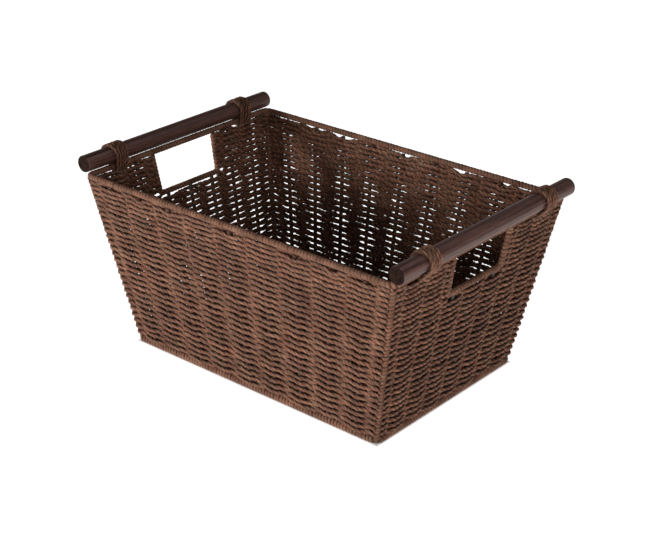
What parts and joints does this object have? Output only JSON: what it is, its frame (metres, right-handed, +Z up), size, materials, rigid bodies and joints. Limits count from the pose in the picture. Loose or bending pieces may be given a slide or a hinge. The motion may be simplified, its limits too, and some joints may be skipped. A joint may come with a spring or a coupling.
{
  "type": "storage basket",
  "caption": "Open rectangular basket with sloping walls of woven cord on a wire frame, a hand hole in each end and a round wooden bar lashed along each end of the rim.",
  "frame": {"origin": "centre of the underside, on the surface the basket stands on", "axes": "+X along the length from handle to handle, +Y across the width, +Z up"},
  "size_m": [0.4606, 0.2958, 0.2265],
  "materials": {
    "woven_cord": "matt twisted paper cord, dark brown",
    "binding_cord": "matt twisted paper cord, dark brown",
    "stained_wood": "dark stained, satin",
    "frame_wire": "dark painted steel wire"
  },
  "bodies": {
    "root": {"base_binding": "binding_cord", "base_rod_1": "frame_wire", "base_rod_2": "frame_wire", "base_rod_3": "frame_wire", "base_rod_4": "frame_wire", "base_rod_5": "frame_wire", "base_wire": "frame_wire", "corner_binding_back_left": "binding_cord", "corner_binding_back_right": "binding_cord", "corner_binding_front_left": "binding_cord", "corner_binding_front_right": "binding_cord", "corner_post_back_left": "frame_wire", "corner_post_back_right": "frame_wire", "corner_post_front_left": "frame_wire", "corner_post_front_right": "frame_wire", "hand_hole_binding_left": "binding_cord", "hand_hole_binding_right": "binding_cord", "hand_hole_grid_left": "frame_wire", "hand_hole_grid_right": "frame_wire", "handle_left": "stained_wood", "handle_right": "stained_wood", "lashing_left_back": "binding_cord", "lashing_left_front": "binding_cord", "lashing_right_back": "binding_cord", "lashing_right_front": "binding_cord", "rim_binding": "binding_cord", "rim_wire": "frame_wire", "stake_back_1": "binding_cord", "stake_back_2": "binding_cord", "stake_back_3": "binding_cord", "stake_back_4": "binding_cord", "stake_back_5": "binding_cord", "stake_back_6": "binding_cord", "stake_back_7": "binding_cord", "stake_back_8": "binding_cord", "stake_back_9": "binding_cord", "stake_front_1": "binding_cord", "stake_front_2": "binding_cord", "stake_front_3": "binding_cord", "stake_front_4": "binding_cord", "stake_front_5": "binding_cord", "stake_front_6": "binding_cord", "stake_front_7": "binding_cord", "stake_front_8": "binding_cord", "stake_front_9": "binding_cord", "stake_left_1": "binding_cord", "stake_left_2": "binding_cord", "stake_left_3": "binding_cord", "stake_left_4": "binding_cord", "stake_right_1": "binding_cord", "stake_right_2": "binding_cord", "stake_right_3": "binding_cord", "stake_right_4": "binding_cord", "weave_back": "woven_cord", "weave_base": "woven_cord", "weave_front": "woven_cord", "weave_left": "woven_cord", "weave_right": "woven_cord"}
  },
  "joints": []
}
